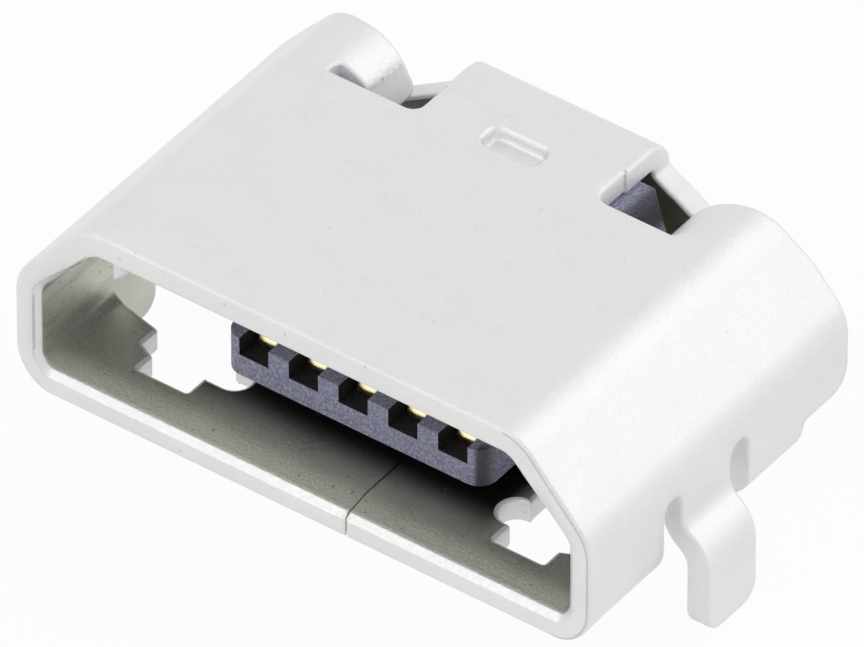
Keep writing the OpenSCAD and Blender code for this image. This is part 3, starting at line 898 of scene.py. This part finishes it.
streak_group, given, out, position = effect_group("drawn_streaks", {
    "Scale": 5, "Low": 0.40, "High": 0.62, "Floor": 0.32, "Height": 0.5})
stretch = add(streak_group, "ShaderNodeVectorMath", {"operation": "MULTIPLY"}, {0: position, 1: STREAK_STRETCH})
streaks = noise(streak_group, stretch.outputs[0], given["Scale"])
at = axes(streak_group, position)
above = smooth(streak_group, at["Z"], given["Floor"], given["Height"])
put_out(streak_group, out, smooth(streak_group, streaks, given["Low"], given["High"]), above)


def tin(name, pale, dull, pit, rough, metal, layers=()):
    """Tin plate: a satin metal with a fine grain, cloudy patches and small dark pits."""
    material, tree, shader = surface(name)
    grain = effect(tree, grain_group, {"Scale": 28, "Low": 0.3, "High": 0.7})
    clouds = effect(tree, grain_group, {"Scale": 1.6, "Low": 0.3, "High": 0.7})
    plate = mixed(tree, grain, mixed(tree, clouds, dull, pale), pale)
    dark = tuple(pit * c for c in dull[:3]) + (1,)
    pits = (speck_group, {"Scale": 5, "Size": 0.13, "Share": 0.35}, dark)
    feed(tree, shader, {
        "Base Color": layered(tree, plate, [*layers, pits]),
        "Roughness": ranged(tree, grain, rough - TIN_ROUGH_SPREAD, rough + TIN_ROUGH_SPREAD),
        "Normal": bumped(tree, grain, TIN_GRAIN_D),
        "Metallic": metal,
    })
    return material


inside_layers = [
    (streak_group, {}, INSIDE_STREAK),
    (lip_light_group, {}, INSIDE_LIP_LIGHT),
    (speck_group, {"Scale": 15, "Size": 0.30, "Share": 0.12}, INSIDE_STREAK),
    (speck_group, {"Scale": 11, "Size": 0.26, "Share": 0.20}, INSIDE_DENT),
    (shade_group, {}, INSIDE_TONGUE_SHADE),
    (notch_group, {"Side": ANYWHERE, "Front": FLAP_Y, "Height": ANYWHERE}, INSIDE_FLAP_SHADE),
]
tin_outside = tin("tin_outside", TIN_PALE, TIN_DULL, pit=0.9, rough=0.45, metal=0.8)
shell = piece("shell_fold", np.concatenate(points), faces, tin_outside)
for material in (
        tin("tin_inside_shaded", INSIDE_PALE, INSIDE_DULL, pit=0.4, rough=0.48, metal=0.8, layers=inside_layers),
        tin("sheared_edge", CUT_PALE, CUT_DULL, pit=0.7, rough=0.50, metal=0.4),
        tin("coined_tip", TIP_PALE, TIP_DULL, pit=0.9, rough=0.65, metal=0.25),
        tin("edge_line", LINE_PALE, LINE_DULL, pit=0.8, rough=0.5, metal=0.4)):
    shell.data.materials.append(material)
shell.data.polygons.foreach_set("material_index", np.concatenate(finish).astype(np.int32))
keep_flat = shell.modifiers.new("flat_faces", "WEIGHTED_NORMAL")
keep_flat.weight = 80
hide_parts("shell")


# Stage. A wide pale floor under the tips of the stakes, an even white surround, and two soft lamps.
FLOOR_HALF = 0.3
FLOOR_GAP = 0.01
PAPER = (0.9, 0.9, 0.9, 1)
PAPER_ROUGH = 0.9
PAPER_GLOW = 0.95
WHITE = (1, 1, 1, 1)
SURROUND_LIGHT = 0.55
SURROUND_SEEN = 0.92

scene = bpy.context.scene
floor_z = cad_box[0].z - FLOOR_GAP * MM
floor_mesh = bpy.data.meshes.new("floor")
floor_mesh.from_pydata([(x * FLOOR_HALF, y * FLOOR_HALF, floor_z) for x, y in ((-1, -1), (1, -1), (1, 1), (-1, 1))],
                       [], [(0, 1, 2, 3)])
floor = bpy.data.objects.new("floor", floor_mesh)
scene.collection.objects.link(floor)


def seen_directly(tree):
    """1 for rays from the camera, from a mirror finish or through glass, 0 for the rest."""
    path = add(tree, "ShaderNodeLightPath").outputs
    first = maths(tree, "MAXIMUM", path["Is Camera Ray"], path["Is Glossy Ray"])
    return maths(tree, "MAXIMUM", first, path["Is Transmission Ray"])


paper, tree, shader = surface("paper")
feed(tree, shader, {"Base Color": PAPER, "Roughness": PAPER_ROUGH})
glow = add(tree, "ShaderNodeEmission", {}, {"Strength": 1})
blend = add(tree, "ShaderNodeMixShader", {}, {
    0: maths(tree, "MULTIPLY", seen_directly(tree), PAPER_GLOW), 1: shader.outputs[0], 2: glow.outputs[0]})
tree.links.new(blend.outputs[0], tree.nodes["Material Output"].inputs["Surface"])
floor_mesh.materials.append(paper)

world = bpy.data.worlds.new("studio")
world.use_nodes = True
scene.world = world
tree = world.node_tree
lighting = tree.nodes["Background"]
feed(tree, lighting, {"Color": WHITE, "Strength": SURROUND_LIGHT})
shown = add(tree, "ShaderNodeBackground", {}, {"Color": WHITE, "Strength": SURROUND_SEEN})
blend = add(tree, "ShaderNodeMixShader", {}, {0: seen_directly(tree), 1: lighting.outputs[0], 2: shown.outputs[0]})
tree.links.new(blend.outputs[0], tree.nodes["World Output"].inputs["Surface"])


def soft_lamp(name, direction, distance, size, power):
    """A square lamp that shines at the object from a direction."""
    lamp = bpy.data.lights.new(name, "AREA")
    lamp.shape = "SQUARE"
    lamp.size = size
    lamp.energy = power
    made = bpy.data.objects.new(name, lamp)
    way = Vector(direction).normalized()
    made.location = way * distance
    made.rotation_euler = way.to_track_quat("Z", "Y").to_euler()
    scene.collection.objects.link(made)


soft_lamp("key_lamp", direction=(0.55, 0.55, 0.62), distance=0.12, size=0.14, power=0.03)
soft_lamp("fill_lamp", direction=(-0.45, -0.65, 0.61), distance=0.15, size=0.12, power=0.03)


# Camera. It stands far off to the front right, above the connector, with a long lens.
IMAGE_W = 864
SENSOR_W = 36
AZIMUTH = math.radians(36.39)
ELEVATION = math.radians(40.30)
DISTANCE = 250
PIXELS_PER_MM = 94.906
MIDDLE = Vector((0, 0.395, 1.2))
FRAME_RIGHT = -0.1016
FRAME_UP = -0.2424
right = Vector((math.cos(AZIMUTH), math.sin(AZIMUTH), 0))
back = Vector((math.sin(AZIMUTH) * math.cos(ELEVATION), -math.cos(AZIMUTH) * math.cos(ELEVATION),
               math.sin(ELEVATION)))
target = MIDDLE + FRAME_RIGHT * right + FRAME_UP * back.cross(right)
camera_data = bpy.data.cameras.new("camera")
camera_data.sensor_fit = "HORIZONTAL"
camera_data.sensor_width = SENSOR_W
camera_data.lens = PIXELS_PER_MM * DISTANCE / IMAGE_W * SENSOR_W
camera_data.clip_start = 0.01
camera_data.clip_end = 10
camera = bpy.data.objects.new("camera", camera_data)
camera.location = (target + back * DISTANCE) * MM
camera.rotation_euler = back.to_track_quat("Z", "Y").to_euler()
scene.collection.objects.link(camera)
scene.camera = camera
scene.view_settings.view_transform = "Standard"
